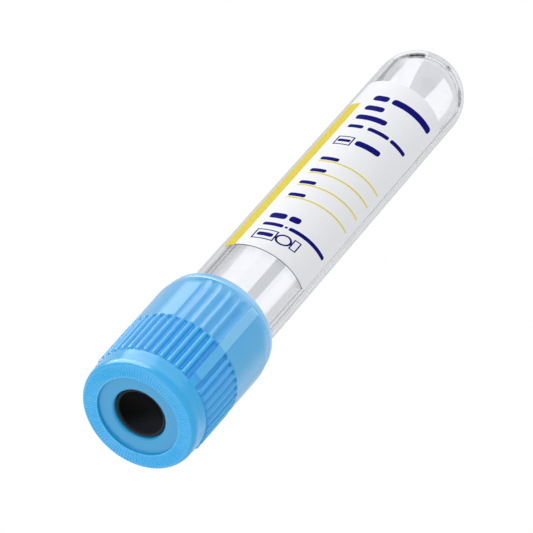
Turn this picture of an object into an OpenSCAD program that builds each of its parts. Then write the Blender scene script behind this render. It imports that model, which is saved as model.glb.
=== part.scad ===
// Blood collection tube: a clear tube in a tube with a round bottom, a white label and a
// pull-off closure of a blue shield over a dark rubber stopper. It stands on the face of
// its closure, so the closure is below, the round end is on top and +Z is the tube's axis.

/* [Closure shield] */
// Length of the shield, from its face to its lip
shield_h = 22.1; // [20:0.1:24]
// Radius of the smooth skirt
skirt_r = 8.42; // [8.3:0.01:8.8]
// Length of the lip at the end of the skirt
lip_h = 1.4; // [1:0.1:2]
// Length over which the skirt draws in towards the lip
shoulder_h = 1.9; // [1:0.1:3]
// Depth by which the skirt draws in
shoulder_depth = 0.28; // [0.1:0.02:0.4]
// Radius of the ring round the face
ring_r = 8.25; // [8.1:0.01:8.3]
// Height of the middle of the waist between the ring and the grip
waist_z = 1.9; // [1.7:0.05:2.2]
// Depth of the waist
waist_depth = 0.14; // [0.05:0.01:0.2]
// Round on the outer edge of the ring
ring_round = 0.6; // [0.3:0.05:0.8]
// Radius of the recess in the face
recess_r = 5.85; // [5.2:0.05:6.5]
// Depth of the recess in the face
recess_depth = 0.45; // [0.2:0.05:0.8]
// Radius of the hole that shows the stopper
hole_r = 3.7; // [3.2:0.1:4.5]
// Round on the mouth of the hole
hole_round = 0.35; // [0.2:0.05:0.6]
// Height at which the plate under the face ends
plate_top = 3.2; // [2.6:0.1:4]
// Radius of the skirt's inside
shield_bore_r = 7.1; // [7:0.05:7.4]

/* [Grip] */
// Height at which the ribs start
rib_start = 3.2; // [2.8:0.1:4]
// Height at which the ribs end
rib_end = 11.3; // [10:0.1:13]
// Number of rib places round the shield
rib_places = 44; // [30:2:48]
// Radius of the floor between the ribs
rib_floor_r = 8.08; // [7.9:0.01:8.2]
// Radius of one rib's rounded crest
rib_round = 0.3; // [0.25:0.01:0.4]
// Number of long flutes down the skirt in each sector
flute_count = 5; // [3:1:6]
// Angle between two long flutes
flute_pitch = 10; // [9:0.5:12]
// Depth of a long flute
flute_depth = 0.26; // [0.1:0.02:0.3]
// Number of fluted sectors round the shield
sector_count = 2; // [1:1:3]
// Angle of the flat bar beside the flutes, from the front to the right
bar_angle = 16.8; // [0:0.1:30]
// Width of the flat bar
bar_w = 1.4; // [1:0.05:1.8]
// Length of the lower step at the near end of the bar
bar_step = 1.5; // [0.5:0.1:3]

/* [Stopper] */
// Radius of the flange that seals the mouth
flange_r = 7; // [6.6:0.05:7.05]
// Height of the mouth of the tube, where the flange ends
mouth_z = 9; // [8:0.1:10]
// Radius of the raised centre that fills the hole of the shield
boss_r = 3.64; // [3:0.02:4.4]
// Height of the raised centre's rim above the floor
boss_z = 1; // [0.6:0.05:1.5]
// Radius of the dish in the raised centre
dish_r = 3.25; // [2.5:0.05:3.6]
// Depth of the dish
dish_depth = 1; // [0.5:0.05:1.3]
// Length of the plug in the tube
plug_l = 9.5; // [7:0.1:11]
// Radius of the pocket in the end of the plug
pocket_r = 2.7; // [2:0.05:3.2]
// Depth of the pocket
pocket_depth = 5.5; // [3:0.1:6]

/* [Tubes] */
// Length of the nested tubes, from the mouth to the round end
tube_l = 75; // [70:0.5:80]
// Radius of the outer tube at its mouth
outer_r = 6.5; // [6.45:0.01:6.55]
// Radius of the outer tube's round end
outer_end_r = 6.15; // [6:0.01:6.4]
// Wall of the outer tube at its mouth
outer_wall = 0.45; // [0.4:0.01:0.5]
// Wall of the outer tube's round end
outer_end_wall = 0.35; // [0.3:0.01:0.4]
// Radius of the inner tube's bore at its mouth
bore_r = 5.4; // [5.2:0.01:5.6]
// Radius of the inner tube's bore at the round end
bore_end_r = 5.4; // [5.2:0.01:5.5]
// Thickness of the inner tube's flange on the outer tube's rim
flange_t = 0.6; // [0.4:0.1:1]
// Length of the straight neck before the draft starts
neck_l = 19; // [12:0.5:20]

/* [Label] */
// Height of the label's edge next to the closure
label_z = 31.4; // [28:0.1:36]
// Length of the label along the tube
label_l = 40.6; // [30:0.1:42]
// Angle of the label's left edge, from the front to the right
label_left = -68; // [-90:1:-50]
// Angle of the label's right edge
label_right = 57; // [40:1:90]
// Thickness of the label
label_t = 0.1; // [0.06:0.01:0.15]

/* [Hidden] */
$fn = 96;
plug_gap = 0.1;
tube_gap = 0.1;
tube_end_gap = 0.06;
inner_r = outer_r - outer_wall - tube_gap;
inner_end_r = outer_end_r - outer_end_wall - tube_end_gap;
bead_gap = 0.1;
bead_h = 1;
waist_round = 0.9;
lip_round = 0.38;
lip_draft = 0.17;
lip_z = shield_h - lip_h;
shoulder_z = lip_z - shoulder_h;
shoulder_round = (shoulder_h * shoulder_h + shoulder_depth * shoulder_depth) / (2 * shoulder_depth);
shoulder_turn = asin(shoulder_h / shoulder_round);
lead_in = 0.3;
bar_proud = 0.08;
bar_crown = 0.05;
crest_r = skirt_r + bar_proud;
rib_sides = 24;
bar_step_drop = 0.15;
rib_sink = 0.25;
flute_round = 1.1;
top_z = mouth_z + tube_l;
neck_z = mouth_z + neck_l;
outer_centre_z = top_z - outer_end_r;
bead_r = outer_r + bead_gap;
front = -90;

// Points of an arc in a profile, about a centre, from one angle to another
function arc(centre, r, a0, a1, steps = 6) =
    [for (i = [0:steps]) let (a = a0 + (a1 - a0) * i / steps)
        centre + r * [cos(a), sin(a)]];

// Radius of a drafted tube at a height above its neck
function drafted(r, end_r, z) = r - (r - end_r) * (z - neck_z) / (outer_centre_z - neck_z);

// Points of the skirt's shoulder, with a lift over the skirt
function shoulder(lift) =
    arc([skirt_r + lift - shoulder_round, shoulder_z], shoulder_round, 0, shoulder_turn);

// Half of the shield's section, without the grip
module shield_profile() {
    waist_turn = acos(1 - waist_depth / waist_round);
    polygon(concat(
        arc([hole_r + hole_round, recess_depth + hole_round], hole_round, 180, 270),
        [[recess_r, recess_depth], [recess_r, 0]],
        arc([ring_r - ring_round, ring_round], ring_round, 270, 360),
        arc([ring_r - waist_depth + waist_round, waist_z], waist_round,
            180 + waist_turn, 180 - waist_turn),
        [[ring_r, rib_start],
         [rib_floor_r, rib_start], [rib_floor_r, rib_end],
         [skirt_r, rib_end]],
        shoulder(0),
        arc([skirt_r - shoulder_depth - lip_draft - lip_round, shield_h - lip_round],
            lip_round, 0, 90),
        [[shield_bore_r + lead_in, shield_h],
         [shield_bore_r, shield_h - lead_in],
         [shield_bore_r, mouth_z + bead_h + bead_h / 2],
         [bead_r, mouth_z + bead_h],
         [bead_r, mouth_z + bead_h / 2],
         [shield_bore_r, mouth_z],
         [shield_bore_r, plate_top],
         [hole_r, plate_top]]));
}

// One grip rib: a tapered near end and a far end, both sunk in the walls beside the grip
module rib() {
    taper_l = 2 * rib_sink;
    translate([crest_r - rib_round, 0, rib_start - rib_sink]) {
        cylinder(r1 = rib_round / 2, r2 = rib_round, h = taper_l, $fn = rib_sides);
        translate([0, 0, taper_l])
            cylinder(r = rib_round, h = rib_end - rib_start, $fn = rib_sides);
    }
}

// Round form that the bar keeps to, which draws in with the skirt's shoulder
module bar_limit() {
    rotate_extrude()
        polygon(concat([[0, 0], [crest_r + bar_crown, 0]], shoulder(bar_proud + bar_crown),
                       [[0, lip_z]]));
}

// One flat bar, the full length of the grip and the skirt, with a lower step at its near end
module bar() {
    reach = crest_r - rib_floor_r;
    intersection() {
        translate([rib_floor_r - bar_w / 2, -bar_w / 2, rib_start - rib_sink]) {
            cube([reach - bar_step_drop + bar_w / 2, bar_w, bar_step + rib_sink]);
            translate([0, 0, bar_step + rib_sink])
                cube([reach + bar_w / 2, bar_w, lip_z - bar_proud - rib_start - bar_step]);
        }
        bar_limit();
    }
}

// Long flutes beside the bar
module flutes() {
    for (i = [1:flute_count])
        rotate(-i * flute_pitch)
            translate([skirt_r + flute_round - flute_depth, 0, rib_end])
                cylinder(r = flute_round, h = lip_z - rib_end);
}

module shield() {
    color("deepskyblue") {
        difference() {
            rotate_extrude() shield_profile();
            for (s = [0:sector_count - 1])
                rotate(front + bar_angle + s * 360 / sector_count) flutes();
        }
        for (s = [0:sector_count - 1])
            rotate(front + bar_angle + s * 360 / sector_count) {
                bar();
                for (i = [1:rib_places / sector_count - 2])
                    rotate((i + 0.5) * 360 / rib_places) rib();
            }
    }
}

// Half of the stopper's section
module stopper_profile() {
    dish_round = (dish_r * dish_r + dish_depth * dish_depth) / (2 * dish_depth);
    dish_angle = asin(dish_r / dish_round);
    dish_centre = [0, boss_z + dish_depth - dish_round];
    rim_round = (boss_r - dish_r) / 2;
    pocket_z = mouth_z + plug_l - pocket_depth;
    plug_r = bore_r - plug_gap;
    polygon(concat(
        arc(dish_centre, dish_round, 90, 90 - dish_angle),
        arc([boss_r - rim_round, boss_z], rim_round, 180, 360),
        [[boss_r, plate_top], [flange_r, plate_top], [flange_r, mouth_z],
         [plug_r, mouth_z], [plug_r, mouth_z + plug_l - lead_in],
         [plug_r - lead_in, mouth_z + plug_l],
         [pocket_r, mouth_z + plug_l], [pocket_r, pocket_z + pocket_r]],
        arc([0, pocket_z + pocket_r], pocket_r, 360, 270)));
}

module stopper() {
    color("dimgray") rotate_extrude() stopper_profile();
}

// Solid form of a tube: a straight neck, a drafted stretch and a round end
module tube_form(r, end_r, start_z) {
    translate([0, 0, start_z]) cylinder(r = r, h = neck_z - start_z);
    translate([0, 0, neck_z]) cylinder(r1 = r, r2 = end_r, h = outer_centre_z - neck_z);
    translate([0, 0, outer_centre_z]) sphere(r = end_r);
}

module outer_tube() {
    color("whitesmoke", 0.4) difference() {
        tube_form(outer_r, outer_end_r, mouth_z + flange_t);
        tube_form(outer_r - outer_wall, outer_end_r - outer_end_wall, mouth_z);
    }
}

module inner_tube() {
    color("whitesmoke", 0.4) difference() {
        union() {
            tube_form(inner_r, inner_end_r, mouth_z);
            translate([0, 0, mouth_z]) cylinder(r = outer_r - bead_gap / 2, h = flange_t);
        }
        tube_form(bore_r, bore_end_r, mouth_z - flange_t);
    }
}

// Sheet that follows the drafted wall between its two side edges
module label() {
    low_r = drafted(outer_r, outer_end_r, label_z);
    high_r = drafted(outer_r, outer_end_r, label_z + label_l);
    color("white")
        rotate(front + label_left)
            rotate_extrude(angle = label_right - label_left)
                polygon([[low_r, label_z], [low_r + label_t, label_z],
                         [high_r + label_t, label_z + label_l], [high_r, label_z + label_l]]);
}

shield();
stopper();
outer_tube();
inner_tube();
label();
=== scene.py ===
import math

import bmesh
import bpy
from mathutils import Matrix, Vector


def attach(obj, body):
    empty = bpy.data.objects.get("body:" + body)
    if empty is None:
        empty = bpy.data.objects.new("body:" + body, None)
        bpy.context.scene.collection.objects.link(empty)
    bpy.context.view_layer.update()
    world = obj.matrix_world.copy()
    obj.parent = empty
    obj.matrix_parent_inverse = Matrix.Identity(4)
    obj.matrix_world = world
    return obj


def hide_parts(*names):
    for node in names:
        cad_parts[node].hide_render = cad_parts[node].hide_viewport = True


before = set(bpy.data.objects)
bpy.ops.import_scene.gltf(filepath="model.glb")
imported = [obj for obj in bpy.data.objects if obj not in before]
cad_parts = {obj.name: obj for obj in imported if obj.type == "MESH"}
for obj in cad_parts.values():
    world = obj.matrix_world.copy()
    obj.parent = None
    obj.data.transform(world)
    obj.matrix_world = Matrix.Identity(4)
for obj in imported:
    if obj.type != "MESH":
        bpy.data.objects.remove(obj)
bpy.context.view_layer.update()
mm = 0.001


# Profiles: points are (radius, height) in millimetres

def arc(centre, radius, start, end, steps=6):
    turn = [math.radians(start + (end - start) * i / steps) for i in range(steps + 1)]
    return [(centre[0] + radius * math.cos(a), centre[1] + radius * math.sin(a)) for a in turn]


def rows(start, end, steps):
    # points on a straight line, its first one left out
    share = [(i + 1) / steps for i in range(steps)]
    return [(start[0] + (end[0] - start[0]) * t, start[1] + (end[1] - start[1]) * t) for t in share]


def turned(profile, steps, closed, startAngle=0):
    # a mesh turned round Z from a profile that is a closed ring, or runs from the axis to the axis
    bm = bmesh.new()
    verts = [bm.verts.new((0, -r * mm, z * mm)) for r, z in profile]
    edges = [bm.edges.new(pair) for pair in zip(verts, verts[1:])]
    if closed:
        edges.append(bm.edges.new((verts[-1], verts[0])))
    bmesh.ops.spin(bm, geom=verts + edges, cent=(0, 0, 0), axis=(0, 0, 1), dvec=(0, 0, 0),
                   angle=math.tau, steps=steps, use_merge=True)
    bmesh.ops.remove_doubles(bm, verts=bm.verts, dist=0.0005 * mm)
    bmesh.ops.rotate(bm, verts=bm.verts, cent=(0, 0, 0),
                     matrix=Matrix.Rotation(math.radians(startAngle), 3, "Z"))
    bmesh.ops.recalc_face_normals(bm, faces=bm.faces)
    return bm


def makePiece(name, bm, materials, sharpAngle=35):
    mesh = bpy.data.meshes.new(name)
    bm.to_mesh(mesh)
    bm.free()
    mesh.shade_smooth()
    mesh.set_sharp_from_angle(angle=math.radians(sharpAngle))
    for material in materials:
        mesh.materials.append(material)
    piece = bpy.data.objects.new(name, mesh)
    bpy.context.scene.collection.objects.link(piece)
    mesh.calc_loop_triangles()
    print(name, len(mesh.loop_triangles), "triangles")
    return piece


def smoothStep(low, high, value):
    t = min(1, max(0, (value - low) / (high - low)))
    return t * t * (3 - 2 * t)


def frontAngle(point):
    # angle from the front towards the right, in degrees
    return math.degrees(math.atan2(point.x, -point.y))


# Shader groups

def newGroup(name, inputs, outputs):
    group = bpy.data.node_groups.new(name, "ShaderNodeTree")
    for title, kind, value in inputs:
        socket = group.interface.new_socket(title, in_out="INPUT", socket_type=kind)
        socket.default_value = value
    for title, kind in outputs:
        group.interface.new_socket(title, in_out="OUTPUT", socket_type=kind)
    return group, group.nodes.new("NodeGroupInput"), group.nodes.new("NodeGroupOutput")


def mathNode(nodes, operation, **values):
    # fixed values are given as _0, _1 and _2, after the input that takes them
    node = nodes.new("ShaderNodeMath")
    node.operation = operation
    for index, value in values.items():
        node.inputs[int(index[1:])].default_value = value
    return node


def mouldedGrain():
    # fine grain of a moulded surface: a colour that drifts a little, a roughness and a height
    group, given, result = newGroup(
        "mouldedGrain",
        [("Colour", "NodeSocketColor", (0.5, 0.5, 0.5, 1)),
         ("Drift", "NodeSocketFloat", 0.05),
         ("Roughness", "NodeSocketFloat", 0.3),
         ("Spread", "NodeSocketFloat", 0.05),
         ("Cloud Scale", "NodeSocketFloat", 300),
         ("Grain Scale", "NodeSocketFloat", 4000)],
        [("Colour", "NodeSocketColor"), ("Roughness", "NodeSocketFloat"),
         ("Height", "NodeSocketFloat")])
    nodes, link = group.nodes, group.links.new
    place = nodes.new("ShaderNodeTexCoord")
    cloud = nodes.new("ShaderNodeTexNoise")
    cloud.inputs["Detail"].default_value = 4
    link(place.outputs["Object"], cloud.inputs["Vector"])
    link(given.outputs["Cloud Scale"], cloud.inputs["Scale"])
    grain = nodes.new("ShaderNodeTexNoise")
    grain.inputs["Detail"].default_value = 3
    link(place.outputs["Object"], grain.inputs["Vector"])
    link(given.outputs["Grain Scale"], grain.inputs["Scale"])
    centred = mathNode(nodes, "SUBTRACT", _1=0.5)
    link(cloud.outputs["Fac"], centred.inputs[0])
    drift = mathNode(nodes, "MULTIPLY_ADD", _2=1)
    link(centred.outputs[0], drift.inputs[0])
    link(given.outputs["Drift"], drift.inputs[1])
    tone = nodes.new("ShaderNodeHueSaturation")
    link(given.outputs["Colour"], tone.inputs["Color"])
    link(drift.outputs[0], tone.inputs["Value"])
    link(tone.outputs["Color"], result.inputs["Colour"])
    rough = mathNode(nodes, "MULTIPLY_ADD")
    link(centred.outputs[0], rough.inputs[0])
    link(given.outputs["Spread"], rough.inputs[1])
    link(given.outputs["Roughness"], rough.inputs[2])
    link(rough.outputs[0], result.inputs["Roughness"])
    link(grain.outputs["Fac"], result.inputs["Height"])
    return group


grainGroup = mouldedGrain()


def grainNode(nodes, look):
    grain = nodes.new("ShaderNodeGroup")
    grain.node_tree = grainGroup
    grain.inputs["Colour"].default_value = (*look["colour"], 1)
    for socket in ("Drift", "Roughness", "Spread", "Cloud Scale", "Grain Scale"):
        grain.inputs[socket].default_value = look[socket]
    return grain


def plainMaterial(name, look):
    # a Principled material whose colour, roughness and height come from the moulded grain
    material = bpy.data.materials.new(name)
    material.use_nodes = True
    nodes, link = material.node_tree.nodes, material.node_tree.links.new
    shader = nodes["Principled BSDF"]
    grain = grainNode(nodes, look)
    bump = nodes.new("ShaderNodeBump")
    bump.inputs["Strength"].default_value = look["bump"]
    bump.inputs["Distance"].default_value = look["bumpDepth"] * mm
    link(grain.outputs["Height"], bump.inputs["Height"])
    link(bump.outputs["Normal"], shader.inputs["Normal"])
    link(grain.outputs["Colour"], shader.inputs["Base Color"])
    link(grain.outputs["Roughness"], shader.inputs["Roughness"])
    for socket, value in look["fixed"].items():
        shader.inputs[socket].default_value = value
    return material


# Camera and studio

view = {
    "distance": 1927,  # from the aimed point, in mm
    "elevation": -44.84,  # below the tube, looking up at the closure's face
    "roll": 41.18,  # the tube leans to the right
    "aim": (-0.23, 0, 35.74),
    "lens": 1004.3,
    "clipEnd": 10,  # in metres, past the floor and the cards
}


def placeCamera():
    data = bpy.data.cameras.new("camera")
    data.lens = view["lens"]
    data.clip_end = view["clipEnd"]
    camera = bpy.data.objects.new("camera", data)
    bpy.context.scene.collection.objects.link(camera)
    tilt = math.radians(view["elevation"])
    away = Vector((0, -math.cos(tilt), math.sin(tilt)))
    turn = away.to_track_quat("Z", "Y").to_matrix().to_4x4()
    roll = Matrix.Rotation(math.radians(view["roll"]), 4, "Z")
    aim = Vector(view["aim"]) * mm
    camera.matrix_world = Matrix.Translation(aim + away * view["distance"] * mm) @ turn @ roll
    bpy.context.scene.camera = camera
    print("camera placed")


studio = {
    "floorSize": 3000, "floorGrey": 0.9, "floorRoughness": 0.8,
    "lampDistance": 500, "lampAim": 40,  # the lamps point at this height
    "lamps": {  # azimuth from the front to the right, elevation, size in mm, brightness
        "sideBox": {"azimuth": -71, "elevation": 44, "size": (440, 120), "bright": 2.9},
        "frontBox": {"azimuth": -8, "elevation": 48, "size": (420, 300), "bright": 0.8},
        "rightBox": {"azimuth": 115, "elevation": 45, "size": (200, 300), "bright": 0.4},
        "lowBox": {"azimuth": -60, "elevation": -60, "size": (400, 400), "bright": 1.3},
        "topBox": {"azimuth": 30, "elevation": 80, "size": (200, 200), "bright": 1.5},
        "faceBox": {"azimuth": 180, "elevation": -45, "size": (700, 500), "bright": 1, "glossOnly": True},
        "gleamBox": {"azimuth": -71, "elevation": 12, "roll": -9, "size": (700, 400), "bright": 6.5,
                     "glossOnly": True},
    },
    "roomLight": 0.8, "roomGloss": 0.85,
    "shadeRise": (0.2, 0.4),  # the shading starts and is full at these upward parts of a direction
    # the room behind clear plastic: grey, strength of that grey and darkness. Bend is the angle
    # from straight behind, as a share of a right angle; side is the way it is bent, from the
    # left (0.25) over the far end of the tube (0.5) to the right (0.75)
    "behindGrey": ((0, 1.05), (0.04, 1.03), (0.066, 1.01), (0.08, 0.6), (0.23, 0.6), (0.28, 0.85),
                   (0.36, 0.85), (0.6, 0.95)),
    "greySide": ((0, 1), (0.285, 1), (0.32, 0), (0.47, 0), (0.53, 0.8), (0.75, 1)),
    "darkBend": ((0.365, 0), (0.38, 1), (0.48, 1), (0.5, 0)),
    "darkSide": ((0.15, 0), (0.17, 0.45), (0.315, 0.45), (0.33, 1), (0.415, 1), (0.42, 0),
                 (0.505, 0), (0.51, 1), (0.525, 1), (0.53, 0), (0.6, 0), (0.615, 1), (0.67, 1),
                 (0.675, 0)),
    "farBend": ((0.46, 0), (0.49, 1), (0.66, 1), (0.7, 0)),
    "farSide": ((0.22, 0), (0.25, 0.2), (0.305, 0.2), (0.32, 0.3), (0.345, 0.3), (0.36, 1), (0.415, 1),
                (0.42, 0)),
    "darkGrey": (0.03, 0.033, 0.036),
    "plainGrey": 1.06,
    "shadeTint": (0.965, 0.985, 1.03),
    "cards": {  # grey cards behind the tube: left and right side and height of each end, in mm
        "neckCard": {"low": (0.33, 4.3, 70), "high": (0.33, 4.3, 105), "grey": (0.6, 0.62, 0.66)},
        "domeCard": {"low": (-0.8, 1.3, 130), "high": (-94, 22, 420), "grey": (0.66, 0.68, 0.72)},
    },
    "cardBehind": 60,
}


unlit = bpy.data.collections.new("unlit")  # clear pieces, which show the room and no lamps


def addLamp(name, lamp):
    data = bpy.data.lights.new(name, "AREA")
    data.shape = "RECTANGLE"
    data.size, data.size_y = (side * mm for side in lamp["size"])
    data.energy = lamp["bright"] * math.pi * data.size * data.size_y
    holder = bpy.data.objects.new(name, data)
    bpy.context.scene.collection.objects.link(holder)
    holder.light_linking.receiver_collection = unlit
    holder.visible_diffuse = not lamp.get("glossOnly", False)
    side, tilt = math.radians(lamp["azimuth"]), math.radians(lamp["elevation"])
    away = Vector((math.sin(side) * math.cos(tilt), -math.cos(side) * math.cos(tilt), math.sin(tilt)))
    turn = away.to_track_quat("Z", "Y").to_matrix().to_4x4()
    turn = turn @ Matrix.Rotation(math.radians(lamp.get("roll", 0)), 4, "Z")
    middle = Vector((0, 0, studio["lampAim"] * mm))
    holder.matrix_world = Matrix.Translation(middle + away * studio["lampDistance"] * mm) @ turn


def rampNode(nodes, link, source, stops):
    # grey stops along a value from 0 to 1
    ramp = nodes.new("ShaderNodeValToRGB")
    marks = ramp.color_ramp.elements
    while len(marks) < len(stops):
        marks.new(0.5)
    for mark, (at, grey) in zip(marks, stops):
        mark.position = at
        mark.color = (grey, grey, grey, 1)
    link(source, ramp.inputs["Fac"])
    return ramp.outputs["Color"]


def dotNode(nodes, link, source, way):
    node = nodes.new("ShaderNodeVectorMath")
    node.operation = "DOT_PRODUCT"
    node.inputs[1].default_value = way
    link(source, node.inputs[0])
    return node.outputs["Value"]


def mixNode(nodes, link, factor, first, second):
    # each of the two colours is a colour or an output
    node = nodes.new("ShaderNodeMix")
    node.data_type = "RGBA"
    link(factor, node.inputs["Factor"])
    for socket, value in (("A", first), ("B", second)):
        if isinstance(value, tuple):
            node.inputs[socket].default_value = (*value, 1)
        else:
            link(value, node.inputs[socket])
    return node.outputs["Result"]


def buildWorld():
    # white for the camera, shaded behind clear plastic, plain for everything else
    world = bpy.data.worlds.new("studio")
    bpy.context.scene.world = world
    world.use_nodes = True
    nodes, link = world.node_tree.nodes, world.node_tree.links.new
    way = nodes.new("ShaderNodeTexCoord").outputs["Generated"]
    tilt = math.radians(-view["elevation"])
    straight = dotNode(nodes, link, way, (0, math.cos(tilt), math.sin(tilt)))
    along = dotNode(nodes, link, way, (0, -math.sin(tilt), math.cos(tilt)))
    right = dotNode(nodes, link, way, (1, 0, 0))
    turn = mathNode(nodes, "ARCCOSINE")
    link(straight, turn.inputs[0])
    bend = mathNode(nodes, "DIVIDE", _1=math.radians(90))
    link(turn.outputs[0], bend.inputs[0])
    around = mathNode(nodes, "ARCTAN2")
    link(right, around.inputs[0])
    link(along, around.inputs[1])
    side = mathNode(nodes, "MULTIPLY_ADD", _1=1 / math.tau, _2=0.5)
    link(around.outputs[0], side.inputs[0])
    grey = rampNode(nodes, link, bend.outputs[0], studio["behindGrey"])
    greySide = rampNode(nodes, link, side.outputs[0], studio["greySide"])
    darkSide = rampNode(nodes, link, side.outputs[0], studio["darkSide"])
    darkBend = rampNode(nodes, link, bend.outputs[0], studio["darkBend"])
    farSide = rampNode(nodes, link, side.outputs[0], studio["farSide"])
    farBend = rampNode(nodes, link, bend.outputs[0], studio["farBend"])
    near, far = mathNode(nodes, "MULTIPLY"), mathNode(nodes, "MULTIPLY")
    dark = mathNode(nodes, "MAXIMUM")
    for node, first, second in ((near, darkBend, darkSide), (far, farBend, farSide),
                                (dark, near.outputs[0], far.outputs[0])):
        link(first, node.inputs[0])
        link(second, node.inputs[1])
    plain = (studio["plainGrey"],) * 3
    room = mixNode(nodes, link, greySide, plain, grey)
    tinted = nodes.new("ShaderNodeVectorMath")
    tinted.operation = "MULTIPLY"
    tinted.inputs[1].default_value = studio["shadeTint"]
    link(room, tinted.inputs[0])
    room = mixNode(nodes, link, dark.outputs[0], tinted.outputs[0], studio["darkGrey"])
    split = nodes.new("ShaderNodeSeparateXYZ")
    link(way, split.inputs[0])
    above = nodes.new("ShaderNodeMapRange")
    above.interpolation_type = "SMOOTHSTEP"
    above.inputs["From Min"].default_value, above.inputs["From Max"].default_value = studio["shadeRise"]
    link(split.outputs["Z"], above.inputs["Value"])
    behind = mixNode(nodes, link, above.outputs[0], (1, 1, 1), room)
    rays = nodes.new("ShaderNodeLightPath").outputs
    gloss = mixNode(nodes, link, far.outputs[0], (studio["roomGloss"],) * 3, studio["darkGrey"])
    plain = mixNode(nodes, link, rays["Is Glossy Ray"], (studio["roomLight"],) * 3, gloss)
    through = mixNode(nodes, link, rays["Is Transmission Ray"], plain, behind)
    seen = mixNode(nodes, link, rays["Is Camera Ray"], through, (1, 1, 1))
    link(seen, nodes["Background"].inputs["Color"])


def floorMaterial():
    # pale from above, clear from below, so that the closure's face can be looked at
    material = bpy.data.materials.new("paleFloor")
    material.use_nodes = True
    nodes, link = material.node_tree.nodes, material.node_tree.links.new
    shader = nodes["Principled BSDF"]
    shader.inputs["Base Color"].default_value = (*(studio["floorGrey"],) * 3, 1)
    shader.inputs["Roughness"].default_value = studio["floorRoughness"]
    clear = nodes.new("ShaderNodeBsdfTransparent")
    side = nodes.new("ShaderNodeNewGeometry")
    mix = nodes.new("ShaderNodeMixShader")
    link(side.outputs["Backfacing"], mix.inputs[0])
    link(shader.outputs[0], mix.inputs[1])
    link(clear.outputs[0], mix.inputs[2])
    link(mix.outputs[0], nodes["Material Output"].inputs["Surface"])
    return material


def cardMaterial(name, grey):
    # plain glow, which only clear plastic shows
    material = bpy.data.materials.new(name)
    material.use_nodes = True
    nodes, link = material.node_tree.nodes, material.node_tree.links.new
    nodes.remove(nodes["Principled BSDF"])
    glow = nodes.new("ShaderNodeEmission")
    glow.inputs["Color"].default_value = (*grey, 1)
    link(glow.outputs[0], nodes["Material Output"].inputs["Surface"])
    return material


def buildStudio():
    scene = bpy.context.scene
    scene.view_settings.view_transform = "Standard"
    for name, lamp in studio["lamps"].items():
        addLamp(name, lamp)
    buildWorld()
    bm = bmesh.new()
    bmesh.ops.create_grid(bm, x_segments=1, y_segments=1, size=studio["floorSize"] * mm / 2)
    floor = makePiece("floor", bm, [floorMaterial()])
    floor.visible_shadow = False
    floor.visible_diffuse = False
    floor.visible_glossy = False
    print("floor laid")
    for name, place in studio["cards"].items():
        bm = bmesh.new()
        bmesh.ops.create_grid(bm, x_segments=1, y_segments=1, size=0.5)
        for vert in bm.verts:
            left, right, height = place["high" if vert.co.y > 0 else "low"]
            vert.co = Vector((right if vert.co.x > 0 else left, studio["cardBehind"], height)) * mm
        card = makePiece(name, bm, [cardMaterial(name + "Grey", place["grey"])])
        card.visible_camera = False
        card.visible_diffuse = False
        card.visible_glossy = False
        card.visible_shadow = False
    print("studio built")


placeCamera()
buildStudio()


# Closure shield

shield = {
    "height": 22.1, "skirt": 8.42, "bore": 7.1, "leadIn": 0.3,
    "shoulderHeight": 1.9, "shoulderDepth": 0.28, "lipHeight": 1.4, "lipRound": 0.38, "lipDraft": 0.17,
    "groove": ((-0.05, 0.03), (-0.05, 0.07), (-0.02, 0.16), (-0.02, 0.35)),  # out and up from the shoulder
    "lipBelly": (0.02, 0.7),
    "ring": 8.25, "ringRound": 0.6, "ringRise": 1.0, "ringSteps": 10,
    "waistLow": 1.0, "waistHigh": 2.8, "waistDepth": 0.02, "waistSteps": 14,
    "recess": 5.85, "recessDepth": 0.45, "recessEdge": 0.08, "hole": 3.7, "holeRound": 0.35,
    "plateTop": 3.2,
    "ribStart": 3.2, "ribEnd": 11.3, "ribPlaces": 44, "ribFloor": 8.05, "ribFoot": 0.04,
    "ribShare": 0.62,  # share of a rib's half pitch that is rounded outwards
    "ribNearEnd": 0.35, "ribFlush": 1.2,
    "valleyShare": 0.75,  # how round the far end of a valley is
    "valleyFade": 0.15,
    "fluteCount": 5, "flutePitch": 10, "fluteDepth": 0.2, "fluteRound": 1.1,
    "sectors": 2, "barAngle": 16.8, "barWidth": 1.4, "barProud": 0.08, "barStep": 1.5,
    "barStepDrop": 0.15, "barSink": 0.26,
    "mouth": 9, "bead": 6.6, "beadHeight": 1,
    "teeth": 110, "toothInner": 6.0, "toothOuter": 7.75, "toothDepth": 0.1, "toothFade": 0.25,
    "toothSteps": 8,
}
shield["lipStart"] = shield["height"] - shield["lipHeight"]
shield["shapedFrom"] = shield["ribStart"] - 0.31  # the outside is shaped from just below the ribs
shield["sector"] = 360 / shield["sectors"]

plasticLook = {
    "colour": (0.024, 0.405, 0.79), "Drift": 0.03, "Roughness": 0.23, "Spread": 0.03,
    "Cloud Scale": 220, "Grain Scale": 1600, "bump": 0.025, "bumpDepth": 0.01,
    # painted sheen: the skirt above the ribs drawn paler, standing in for its gloss
    "skirtSheenColour": (0.08, 0.415, 0.75), "skirtSheenFade": 0.1,
    # painted shade: a darker blue in the rib valleys and flute floors, where shade falls
    "valleyShadeColour": (0, 0.31, 0.76), "valleyShadeLow": (3, 3.3), "valleyShadeHigh": (18, 19.5),  # heights of its ends
    # painted shade: a darker blue over the recessed face and the hole
    "recessShadeColour": (0.01, 0.3, 0.59), "recessShadeHigh": (3, 3.4),
    "fixed": {"IOR": 1.5, "Specular IOR Level": 0.5, "Subsurface Weight": 0.15, "Subsurface Scale": 0.001,
              "Subsurface Radius": (0.3, 0.6, 1.0)},
}

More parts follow.
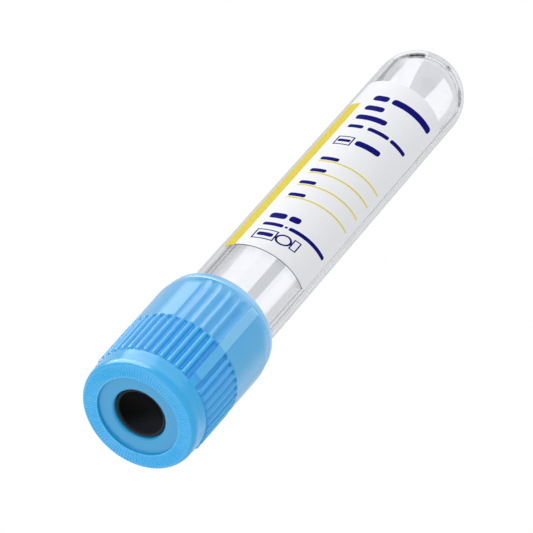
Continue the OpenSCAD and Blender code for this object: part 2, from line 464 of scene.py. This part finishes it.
# painted sheen: the flat bar drawn paler than the rest of the blue, standing in for its reflection; where
# it runs through the grip, a little less pale
barSheenLook = dict(plasticLook, colour=(0.19, 0.53, 0.84))
gripBarSheenLook = dict(plasticLook, colour=(0.08, 0.44, 0.81))
# painted highlight: the lip drawn paler, standing in for the gloss along its round
lipHighlightLook = dict(plasticLook, colour=(0.23, 0.55, 0.85))

barSheenFinish, lipHighlightFinish, gripBarSheenFinish = 1, 2, 3  # places in the shield's materials, after the plain blue


def rangeNode(nodes, link, source, span, start, end):
    # start below the span's low value, end above its high one, both in millimetres
    node = nodes.new("ShaderNodeMapRange")
    node.interpolation_type = "SMOOTHSTEP"
    low, high = span
    for socket, value in (("From Min", low * mm), ("From Max", high * mm),
                          ("To Min", start), ("To Max", end)):
        node.inputs[socket].default_value = value
    link(source, node.inputs["Value"])
    return node.outputs[0]


def axisPlace(nodes, link):
    # distance from the axis and height
    place = nodes.new("ShaderNodeTexCoord")
    split = nodes.new("ShaderNodeSeparateXYZ")
    link(place.outputs["Object"], split.inputs[0])
    flat = nodes.new("ShaderNodeCombineXYZ")
    link(split.outputs["X"], flat.inputs["X"])
    link(split.outputs["Y"], flat.inputs["Y"])
    far = nodes.new("ShaderNodeVectorMath")
    far.operation = "LENGTH"
    link(flat.outputs[0], far.inputs[0])
    return far.outputs["Value"], split.outputs["Z"]


def product(nodes, link, *factors):
    result = factors[0]
    for factor in factors[1:]:
        node = mathNode(nodes, "MULTIPLY")
        link(result, node.inputs[0])
        link(factor, node.inputs[1])
        result = node.outputs[0]
    return result


def blueMaterial(name, look):
    # painted shade: darker blue between the ribs, in the flutes and in the recess of the face; painted
    # sheen: the skirt drawn paler
    material = plainMaterial(name, look)
    nodes, link = material.node_tree.nodes, material.node_tree.links.new
    shader = nodes["Principled BSDF"]
    colour = shader.inputs["Base Color"].links[0].from_socket
    radius, height = axisPlace(nodes, link)
    valleyShadeRadius = (shield["ribFloor"] + 0.02, shield["skirt"] + 0.03)
    # painted shade where the outside draws in, in the rib valleys and flute floors
    deep = product(nodes, link, rangeNode(nodes, link, radius, valleyShadeRadius, 1, 0),
                   rangeNode(nodes, link, height, look["valleyShadeLow"], 0, 1),
                   rangeNode(nodes, link, height, look["valleyShadeHigh"], 1, 0))
    recessRadius = (shield["recess"] - 0.02, shield["recess"] + 0.05)
    # painted shade over the recess of the face
    low = product(nodes, link, rangeNode(nodes, link, radius, recessRadius, 1, 0),
                  rangeNode(nodes, link, height, look["recessShadeHigh"], 1, 0))
    # painted sheen on the skirt above the ribs
    skirtHeight = (shield["ribEnd"], shield["ribEnd"] + look["skirtSheenFade"])
    skirt = rangeNode(nodes, link, height, skirtHeight, 0, 1)
    colour = mixNode(nodes, link, skirt, colour, look["skirtSheenColour"])
    colour = mixNode(nodes, link, deep, colour, look["valleyShadeColour"])
    colour = mixNode(nodes, link, low, colour, look["recessShadeColour"])
    link(colour, shader.inputs["Base Color"])
    return material


def lipPoints():
    # the skirt draws in over its shoulder, then a fine groove and the lip follow
    high, deep = shield["shoulderHeight"], shield["shoulderDepth"]
    bend = (high ** 2 + deep ** 2) / (2 * deep)
    turn = math.degrees(math.asin(high / bend))
    points = arc((shield["skirt"] - bend, shield["lipStart"] - high), bend, 0, turn, 12)
    radius, z = points[-1]
    points += [(radius + out, z + up) for out, up in shield["groove"]]
    endRadius, endHeight = radius - shield["lipDraft"], shield["height"] - shield["lipRound"]
    out, up = shield["lipBelly"]
    points.append(((radius + endRadius) / 2 + out, z + up))
    points += arc((endRadius - shield["lipRound"], endHeight), shield["lipRound"], 0, 90, 8)
    return points


def facePoints():
    # from the hole over the recess and the toothed ring to the end of the ring's round
    edge, floor, recess = shield["recessEdge"], shield["recessDepth"], shield["recess"]
    points = arc((shield["hole"] + shield["holeRound"], floor + shield["holeRound"]),
                 shield["holeRound"], 180, 270)
    points += rows(points[-1], (recess - edge, floor), 2)
    points += arc((recess - edge, floor - edge), edge, 90, 0, 3)[1:]
    points += arc((recess + edge, edge), edge, 180, 270, 3)
    points += rows(points[-1], (shield["toothInner"], 0), 1)
    points += rows(points[-1], (shield["toothInner"] + shield["toothFade"], 0), 2)
    points += rows(points[-1], (shield["toothOuter"] - 0.15, 0), 3)
    middle, steps = shield["ring"] - shield["ringRound"], shield["ringSteps"]
    for i in range(1, steps + 1):
        turn = math.radians(270 + 90 * i / steps)
        points.append((middle + shield["ringRound"] * math.cos(turn),
                       shield["ringRise"] * (1 + math.sin(turn))))
    return points


def shieldProfile():
    points = facePoints()
    steps = shield["waistSteps"]
    for i in range(1, steps + 1):
        wave = 0.5 - 0.5 * math.cos(math.tau * i / steps)
        z = shield["waistLow"] + (shield["waistHigh"] - shield["waistLow"]) * i / steps
        points.append((shield["ring"] - shield["waistDepth"] * wave, z))
    near, end, floor = shield["ribStart"], shield["ribEnd"], shield["ribFloor"]
    points += rows(points[-1], (shield["ring"], near), 4)
    points.append((floor, near + shield["ribFoot"]))
    barStep = near + shield["barStep"]
    # rows up the ribs, closer together at their ends and at the bar's step
    for z, count in ((near + 0.3, 3), (barStep - 0.08, 1), (barStep + 0.08, 2),
                     (end - shield["ribFlush"], 1), (end - 0.4, 2), (end - 0.02, 6)):
        points += rows(points[-1], (floor, z), count)
    skirt = shield["skirt"]
    points += rows((skirt, end + 0.06), (skirt, end + 0.3), 2)
    points += rows(points[-1], (skirt, shield["lipStart"] - shield["shoulderHeight"] - 0.2), 3)
    points += lipPoints()
    bore, leadIn = shield["bore"], shield["leadIn"]
    points += arc((bore + leadIn, shield["height"] - leadIn), leadIn, 90, 180, 4)
    mouth, bead, beadHeight = shield["mouth"], shield["bead"], shield["beadHeight"]
    points += [(bore, mouth + beadHeight * 1.5), (bead, mouth + beadHeight), (bead, mouth + beadHeight / 2),
               (bore, mouth), (bore, shield["plateTop"]), (shield["hole"], shield["plateTop"])]
    return points


def ribRadius(radius, past, z):
    # outside radius in the grip, where past is the angle past the last bar
    skirt, floor = shield["skirt"], shield["ribFloor"]
    end, join = shield["ribEnd"], shield["ribShare"]
    pitch = 360 / shield["ribPlaces"]
    place = round(past / pitch - 0.5)
    if not 1 <= place <= shield["ribPlaces"] / shield["sectors"] - 2:
        return radius  # the bar's own place
    offRib = min(1, abs(past - (place + 0.5) * pitch) / (pitch / 2))  # 0 on a crest, 1 in a valley
    flush = smoothStep(end - shield["ribFlush"], end, z)
    depth = skirt + shield["barProud"] * (1 - flush) - floor
    share = min(1, (shield["ribStart"] + shield["ribNearEnd"] - z) / shield["ribNearEnd"])
    tip = math.sqrt(1 - share * share) if share > 0 else 1
    rise = 1 - offRib * offRib / join if offRib < join else (1 - offRib) ** 2 / (1 - join)
    radius = max(radius, floor + depth * rise * tip)
    valleyHalf = math.radians(pitch) * skirt * (1 - join) * shield["valleyShare"]
    toValley = math.radians(pitch / 2) * skirt * (1 - offRib)
    if toValley < valleyHalf:
        valleyEnd = end - valleyHalf + math.sqrt(valleyHalf ** 2 - toValley ** 2)
        if z > valleyEnd:
            radius += (skirt - radius) * smoothStep(0, shield["valleyFade"], z - valleyEnd)
    return radius


def outsideRadius(angle, z, radius):
    # outside radius of the grip and the skirt, from the radius of the plain turned shape
    skirt, sector, plain = shield["skirt"], shield["sector"], radius
    past = (angle - shield["barAngle"]) % sector  # angle past the last bar
    back = sector - past  # angle before the next bar, where the long flutes are
    if z < shield["ribEnd"]:
        radius = ribRadius(radius, past, z)
    if shield["ribEnd"] - 0.01 < z <= shield["lipStart"]:
        flute = min(shield["fluteCount"], max(1, round(back / shield["flutePitch"])))
        toFlute = math.radians(abs(back - flute * shield["flutePitch"])) * skirt
        if toFlute < shield["fluteRound"]:
            axis = skirt + shield["fluteRound"] - shield["fluteDepth"]
            radius = min(radius, axis - math.sqrt(shield["fluteRound"] ** 2 - toFlute ** 2))
    offBar = min(past, back)
    barHalf = math.degrees(math.asin(shield["barWidth"] / 2 / skirt))
    if offBar < barHalf and shield["ribStart"] - shield["barSink"] <= z < shield["lipStart"] - 0.01:
        top = shield["barProud"] + (plain if z > shield["ribEnd"] else skirt)
        if z <= shield["ribStart"] + shield["barStep"] + 0.01:
            top -= shield["barStepDrop"]
        radius = top / math.cos(math.radians(offBar))
    return radius


def buildShield():
    bm = turned(shieldProfile(), shield["teeth"] * shield["toothSteps"], closed=True,
                startAngle=shield["barAngle"])
    outside = shield["ribFloor"] * mm - 1e-6
    inner, fadeEnd = shield["toothInner"], shield["toothInner"] + shield["toothFade"]
    for vert in bm.verts:
        radius = vert.co.xy.length
        angle = frontAngle(vert.co)
        z = vert.co.z / mm
        if radius > outside and shield["shapedFrom"] < z < shield["lipStart"] - 0.001:
            vert.co.xy *= outsideRadius(angle, z, radius / mm) * mm / radius
        if z < 1e-4 and inner < radius / mm < shield["toothOuter"]:
            wave = 0.5 - 0.5 * math.cos(math.radians(angle - shield["barAngle"]) * shield["teeth"])
            vert.co.z += shield["toothDepth"] * wave * smoothStep(inner, fadeEnd, radius / mm) * mm
    barLow = (shield["ribStart"] + shield["barStep"]) * mm
    barHalf = math.degrees(shield["barWidth"] / 2 / shield["skirt"])
    lipInside = (shield["bore"] + shield["leadIn"]) * mm
    for face in bm.faces:
        middle = face.calc_center_median()
        past = (frontAngle(middle) - shield["barAngle"]) % shield["sector"]
        # painted sheen on the bar's faces, paler above the grip than in it
        if barLow < middle.z < shield["lipStart"] * mm and middle.xy.length > outside:
            if min(past, shield["sector"] - past) < barHalf:
                face.material_index = barSheenFinish if middle.z > shield["ribEnd"] * mm else gripBarSheenFinish
        # painted highlight on the lip's faces
        if middle.z > (shield["lipStart"] + 0.05) * mm and middle.xy.length > lipInside:
            face.material_index = lipHighlightFinish
    return bm


shieldPiece = makePiece("closureShield", buildShield(),
                        [blueMaterial("bluePlastic", plasticLook),
                         plainMaterial("blueBarSheen", barSheenLook), plainMaterial("blueLipHighlight", lipHighlightLook),
                         plainMaterial("blueGripBarSheen", gripBarSheenLook)])
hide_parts("shield")
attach(shieldPiece, "closure")
print("closure shield moulded")


# Rubber stopper

stopper = {
    "flange": 7, "mouth": 9, "boss": 3.64, "bossHeight": 1, "dish": 3.25, "dishDepth": 1,
    "plateTop": 3.2, "plug": 5.3, "plugLength": 9.5, "leadIn": 0.3,
    "pocket": 2.7, "pocketDepth": 5.5, "edge": 0.2, "steps": 160,
}

rubberLook = {
    "colour": (0.0015, 0.0016, 0.0018), "Drift": 0.3, "Roughness": 0.5, "Spread": 0.1,
    "Cloud Scale": 400, "Grain Scale": 5000, "bump": 0.1, "bumpDepth": 0.02,
    # painted highlight: a paler grey on the rim of the dish
    "rimHighlightColour": (0.032, 0.033, 0.037),  # the rim of the dish
    # painted light: one side inside the dish drawn paler
    "litSideColour": (0.009, 0.0105, 0.014), "litSideWay": (0.866, 0.5, 0), "litSideReach": (0, 2.8),
    "fixed": {"IOR": 1.5, "Specular IOR Level": 0.02},
}


def rubberMaterial():
    # painted highlight on the rim of the dish, and painted light at one side inside it
    material = plainMaterial("darkRubber", rubberLook)
    nodes, link = material.node_tree.nodes, material.node_tree.links.new
    shader = nodes["Principled BSDF"]
    colour = shader.inputs["Base Color"].links[0].from_socket
    radius, _ = axisPlace(nodes, link)
    # painted highlight on the rim of the dish
    rim = rangeNode(nodes, link, radius, (stopper["dish"] - 0.15, stopper["dish"] + 0.1), 0, 1)
    # painted light towards one side inside the dish
    place = nodes.new("ShaderNodeTexCoord")
    off = dotNode(nodes, link, place.outputs["Object"], rubberLook["litSideWay"])
    litSide = rangeNode(nodes, link, off, rubberLook["litSideReach"], 0, 1)
    colour = mixNode(nodes, link, litSide, colour, rubberLook["litSideColour"])
    link(mixNode(nodes, link, rim, colour, rubberLook["rimHighlightColour"]), shader.inputs["Base Color"])
    return material


def stopperProfile():
    # from the middle of the dish round the flange and the plug to the middle of the pocket
    dish, depth, edge = stopper["dish"], stopper["dishDepth"], stopper["edge"]
    dishRound = (dish ** 2 + depth ** 2) / (2 * depth)
    dishTurn = math.degrees(math.asin(dish / dishRound))
    rim = (stopper["boss"] - dish) / 2
    points = arc((0, stopper["bossHeight"] + depth - dishRound), dishRound, 90, 90 - dishTurn, 16)
    points += arc((stopper["boss"] - rim, stopper["bossHeight"]), rim, 180, 360, 8)[1:]
    flange, plateTop, mouth = stopper["flange"], stopper["plateTop"], stopper["mouth"]
    points += [(stopper["boss"], plateTop), (flange - edge, plateTop)]
    points += arc((flange - edge, plateTop + edge), edge, 270, 360, 4)[1:]
    points += arc((flange - edge, mouth - edge), edge, 0, 90, 4)
    plug, end, leadIn = stopper["plug"], mouth + stopper["plugLength"], stopper["leadIn"]
    points += [(plug, mouth), (plug, end - leadIn)]
    points += arc((plug - leadIn, end - leadIn), leadIn, 0, 90, 5)[1:]
    pocket, pocketFloor = stopper["pocket"], end - stopper["pocketDepth"]
    points += arc((pocket + edge, end - edge), edge, 90, 180, 4)
    points += arc((0, pocketFloor + pocket), pocket, 360, 270, 12)
    return points


stopperPiece = makePiece("rubberStopper", turned(stopperProfile(), stopper["steps"], closed=False),
                         [rubberMaterial()])
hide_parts("stopper")
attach(stopperPiece, "closure")
print("stopper moulded")


# Tube in a tube

tubes = {
    "mouth": 9, "length": 75, "neck": 19, "steps": 480, "edge": 0.1,
    "flange": 0.6, "flangeRound": 0.15, "flangeInset": 0.05,
    "outer": {"radius": 6.5, "end": 6.15, "bore": 6.05, "boreEnd": 5.8},
    "inner": {"radius": 5.95, "end": 5.74, "bore": 5.4, "boreEnd": 5.4},
    "neckRows": 5, "bodyRows": 8, "domeSteps": 24,
}
tubes["neckEnd"] = tubes["mouth"] + tubes["neck"]
tubes["domeBase"] = tubes["mouth"] + tubes["length"] - tubes["outer"]["end"]

# edge shades go from a wall seen straight on, at 0, to one seen edge on, at 1; they are painted shade:
# darker edge on, and for the inner tube a thin dark line that stands in for the dark contour of its bore
clearLook = {
    "ior": 1.5, "gloss": 0.25,
    "colour": (1, 1, 1), "Drift": 0.01, "Roughness": 0, "Spread": 0,
    "Cloud Scale": 120, "Grain Scale": 2000,
    "outerEdgeShade": ((0.88, 1), (1, 0.62)),
    "innerEdgeShade": ((0.705, 1), (0.72, 0.05), (0.755, 0.05), (0.77, 1), (0.86, 1), (1, 0.31)),
}


def clearMaterial(name, edgeShade):
    # clear plastic with painted shade by how steeply it is looked at
    material = bpy.data.materials.new(name)
    material.use_nodes = True
    nodes, link = material.node_tree.nodes, material.node_tree.links.new
    shader = nodes["Principled BSDF"]
    shader.inputs["Transmission Weight"].default_value = 1
    shader.inputs["Roughness"].default_value = clearLook["Roughness"]
    shader.inputs["IOR"].default_value = clearLook["ior"]
    shader.inputs["Specular IOR Level"].default_value = clearLook["gloss"]
    grain = grainNode(nodes, clearLook)
    # painted shade by Layer Weight facing
    facing = nodes.new("ShaderNodeLayerWeight")
    edgeDarkening = rampNode(nodes, link, facing.outputs["Facing"], edgeShade)
    whole = nodes.new("ShaderNodeVectorMath")
    whole.operation = "MULTIPLY"
    link(grain.outputs["Colour"], whole.inputs[0])
    link(edgeDarkening, whole.inputs[1])
    link(whole.outputs[0], shader.inputs["Base Color"])
    return material


def wallRadius(tube, z):
    # outside radius of a tube's wall at a height
    share = min(1, max(0, (z - tubes["neckEnd"]) / (tubes["domeBase"] - tubes["neckEnd"])))
    return tube["radius"] + (tube["end"] - tube["radius"]) * share


def tubeProfile(tube, rim):
    # from the top of the round end down the outside, round the rim and up the inside
    neckEnd, domeBase, edge = tubes["neckEnd"], tubes["domeBase"], tubes["edge"]
    radius, end, bore, boreEnd = tube["radius"], tube["end"], tube["bore"], tube["boreEnd"]
    outside = arc((0, domeBase), end, 90, 0, tubes["domeSteps"]) + [(end, domeBase - edge)]
    outside += rows(outside[-1], (radius, neckEnd), tubes["bodyRows"])
    outside += rows(outside[-1], (radius, rim[0][1] + edge), tubes["neckRows"])
    inside = [(bore, rim[-1][1] + edge)]
    inside += rows(inside[-1], (bore, neckEnd), tubes["neckRows"])
    inside += rows(inside[-1], (boreEnd, domeBase - edge), tubes["bodyRows"])
    return outside + rim + inside + arc((0, domeBase), boreEnd, 0, 90, tubes["domeSteps"])


def buildOuterTube():
    tube, edge, low = tubes["outer"], tubes["edge"], tubes["mouth"] + tubes["flange"]
    rim = arc((tube["radius"] - edge, low + edge), edge, 0, -90, 4)
    rim += arc((tube["bore"] + edge, low + edge), edge, 270, 180, 4)
    return turned(tubeProfile(tube, rim), tubes["steps"], closed=False)


def buildInnerTube():
    # its flange lies on the rim of the outer tube
    tube, edge, low = tubes["inner"], tubes["edge"], tubes["mouth"]
    top, bend = low + tubes["flange"], tubes["flangeRound"]
    middle = tubes["outer"]["radius"] - tubes["flangeInset"] - bend
    rim = [(tube["radius"], top + edge), (tube["radius"] + edge, top)]
    rim += arc((middle, top - bend), bend, 90, -90, 8)
    rim += [(middle, low), (tube["bore"], low)]
    return turned(tubeProfile(tube, rim), tubes["steps"], closed=False)


outerTube = makePiece("outerTube", buildOuterTube(), [clearMaterial("clearOuter", clearLook["outerEdgeShade"])])
innerTube = makePiece("innerTube", buildInnerTube(), [clearMaterial("clearInner", clearLook["innerEdgeShade"])])
for piece, node in ((outerTube, "outer_tube"), (innerTube, "inner_tube")):
    unlit.objects.link(piece)
    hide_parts(node)
    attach(piece, "tube")
    piece.visible_shadow = False  # what is inside and behind the clear tubes is lit through them
    piece.visible_diffuse = False
for entry in unlit.collection_objects:
    entry.light_linking.link_state = "EXCLUDE"
print("tubes moulded")


# Label: flat artwork in millimetres, x across from the front and y along the tube, then wrapped

label = {
    # edge is the width of the painted shadow line along the low end
    "low": 31.65, "high": 71.95, "left": -68, "right": 57, "thick": 0.09, "corner": 0.8, "edge": 0.06,
    "lift": 0.01,  # above the tube
    # slant of both ends in mm for each degree from the front, bow of the low end for each square degree
    "lowTilt": 0.0173, "highTilt": 0.006, "lowBow": 0.00011,
    "wrapRadius": 6.4, "strip": 0.25, "rowHeight": 2,
}

# print in simple shapes: angles from the front, heights at the left end of each row
artwork = {
    "rowStart": -40, "rowRise": 0.0295, "topRise": 0.0225,  # mm for each degree
    "topFade": (56, 68),  # heights between which the rows' rise changes to that of the top rows
    "ink": 0.01, "inkLift": 0.097,
    "stripe": (-68, -52.3, 30.9, 66.1),
    "lines": {"left": -41, "right": 46, "heights": (42.75, 45.85, 48.85, 51.75), "wide": 0.26},
    "bars": (  # left, right, low, high
        (-41, -23, 66.95, 68.15), (-18.5, 42, 66.95, 68.15),
        (-41.5, -19, 64.6, 65.7), (-42.5, -6, 62.3, 63.4),
        (-42.5, -25, 60.2, 60.95), (-19.5, 7.5, 60.2, 60.95), (10.5, 36.5, 60.2, 60.95),
        (-40, -25.5, 56.75, 57.35), (-19.5, 12, 56.5, 57.6),
        (-41, -20, 52.15, 52.9), (-41, -23, 49.25, 50), (-41, -22.5, 46.25, 47), (-41, -22, 43.2, 43.95),
        (-40.5, -22, 37.8, 39), (-18.5, -5.5, 37.8, 39),
        (-40.5, -18, 36.05, 36.75), (-11, 46, 36.05, 36.75),
        (-37.5, -20, 33.6, 34.4),
    ),
    "barCorner": 0.35,  # share of a bar's height
    "boxes": ((-42.5, -23, 56.05, 58.05), (-41, -16.5, 32.9, 35.1), (2.5, 12, 33.05, 35.1)),
    "boxLine": 0.18,
    "ring": (-7, 33.95, 1.08),  # angle, height and radius
    "ringLine": 0.28,
    "dot": (-14.4, 36.4, 0.2),
    "roundSegments": 40,
}


def filmLook(colour, gloss):
    return {"colour": colour, "Drift": 0.01, "Roughness": 0.45, "Spread": 0.05, "Cloud Scale": 200,
            "Grain Scale": 6000, "bump": 0.02, "bumpDepth": 0.01, "fixed": {"Specular IOR Level": gloss}}


labelFinishes = {
    "labelFilm": filmLook((0.79, 0.8, 0.825), 0.3),
    # painted shadow: a dark line along the cut edge at the low end
    "labelEdgeShadow": filmLook((0.16, 0.16, 0.17), 0.1),  # the cut edge at the low end
    "labelStripe": filmLook((0.7, 0.57, 0.025), 0.1),
    "labelLines": filmLook((0.72, 0.61, 0.04), 0.1),
    "labelPrint": filmLook((0.001, 0.001, 0.17), 0.03),
}


def across(angle):
    return math.radians(angle) * label["wrapRadius"]


def roundedSheet(bm, left, right, low, high, corner=0):
    # a flat sheet between two angles and two heights
    left, right = across(left), across(right)
    verts = bmesh.ops.create_grid(bm, x_segments=1, y_segments=1, size=0.5)["verts"]
    bmesh.ops.scale(bm, verts=verts, vec=(right - left, high - low, 1))
    bmesh.ops.translate(bm, verts=verts, vec=((left + right) / 2, (low + high) / 2, 0))
    if corner:
        bmesh.ops.bevel(bm, geom=verts, offset=corner, affect="VERTICES", segments=4,
                        profile=0.5, material=-1)


def hollowOut(bm, faces, wide):
    # leave only a line of this width round the faces
    bmesh.ops.inset_region(bm, faces=faces, thickness=wide, use_even_offset=True, use_boundary=True)
    bmesh.ops.delete(bm, geom=faces, context="FACES")


def cutSheet(bm, place, way):
    bmesh.ops.bisect_plane(bm, geom=bm.verts[:] + bm.edges[:] + bm.faces[:], dist=1e-5,
                           plane_co=place, plane_no=way)


def sheetHeight(x, y):
    # height of a point of the label, whose two ends were cut a little askew
    angle = math.degrees(x / label["wrapRadius"])
    share = (y - label["low"]) / (label["high"] - label["low"])
    low = label["lowTilt"] * angle + label["lowBow"] * angle * angle
    return y + low * (1 - share) + label["highTilt"] * angle * share


def printHeight(x, y):
    # height of a point of the print, whose rows rise to the right
    angle = math.degrees(x / label["wrapRadius"])
    share = smoothStep(*artwork["topFade"], y)
    rise = artwork["rowRise"] + (artwork["topRise"] - artwork["rowRise"]) * share
    return y + rise * (angle - artwork["rowStart"])


def wrapSheet(bm, lift, thick, heightAt):
    # cut the flat sheet into narrow strips, then lay it round the tube
    side = across(label["right"] - label["left"])
    count = round(side / label["strip"])
    for i in range(count + 1):
        cutSheet(bm, (across(label["left"]) + side * i / count, 0, 0), (1, 0, 0))
    for z in range(math.ceil(label["low"]), math.ceil(label["high"]), label["rowHeight"]):
        cutSheet(bm, (0, z, 0), (0, 1, 0))
    made = bmesh.ops.extrude_face_region(bm, geom=bm.faces[:])
    raised = [v for v in made["geom"] if isinstance(v, bmesh.types.BMVert)]
    bmesh.ops.translate(bm, verts=raised, vec=(0, 0, thick))
    for vert in bm.verts:
        turn = vert.co.x / label["wrapRadius"]
        height = heightAt(vert.co.x, vert.co.y)
        radius = wallRadius(tubes["outer"], height) + lift + vert.co.z
        vert.co = Vector((math.sin(turn) * radius, -math.cos(turn) * radius, height)) * mm
    bmesh.ops.recalc_face_normals(bm, faces=bm.faces)


def wrapInk(bm, heightAt):
    wrapSheet(bm, artwork["inkLift"], artwork["ink"], heightAt)
    return bm


def buildFilm():
    bm = bmesh.new()
    roundedSheet(bm, label["left"], label["right"], label["low"], label["high"], label["corner"])
    # the band below this cut carries the painted shadow line
    cut = label["low"] + label["edge"]
    cutSheet(bm, (0, cut, 0), (0, 1, 0))
    for face in bm.faces:
        face.material_index = int(face.calc_center_median().y < cut)
    wrapSheet(bm, label["lift"], label["thick"], sheetHeight)
    return bm


def buildStripe():
    bm = bmesh.new()
    roundedSheet(bm, *artwork["stripe"])
    return wrapInk(bm, lambda x, y: y)


def buildLines():
    lines = artwork["lines"]
    bm = bmesh.new()
    for low in lines["heights"]:
        roundedSheet(bm, lines["left"], lines["right"], low, low + lines["wide"])
    return wrapInk(bm, printHeight)


def buildPrint():
    bm = bmesh.new()
    for box in artwork["boxes"]:
        before = set(bm.faces)
        roundedSheet(bm, *box)
        hollowOut(bm, [face for face in bm.faces if face not in before], artwork["boxLine"])
    for part, hollow in (("ring", True), ("dot", False)):
        angle, height, radius = artwork[part]
        before = set(bm.faces)
        bmesh.ops.create_circle(bm, cap_ends=True, segments=artwork["roundSegments"], radius=radius,
                                matrix=Matrix.Translation((across(angle), height, 0)))
        if hollow:
            hollowOut(bm, [face for face in bm.faces if face not in before], artwork["ringLine"])
    for left, right, low, high in artwork["bars"]:
        roundedSheet(bm, left, right, low, high, (high - low) * artwork["barCorner"])
    return wrapInk(bm, printHeight)


labelParts = {"labelFilm": buildFilm, "labelStripe": buildStripe, "labelLines": buildLines,
              "labelPrint": buildPrint}
for name, build in labelParts.items():
    finishes = ("labelFilm", "labelEdgeShadow") if name == "labelFilm" else (name,)
    looks = [plainMaterial(finish + "Look", labelFinishes[finish]) for finish in finishes]
    piece = makePiece(name, build(), looks)
    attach(piece, "tube")
    if name == "labelFilm":
        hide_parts("label")
print("label stuck on")
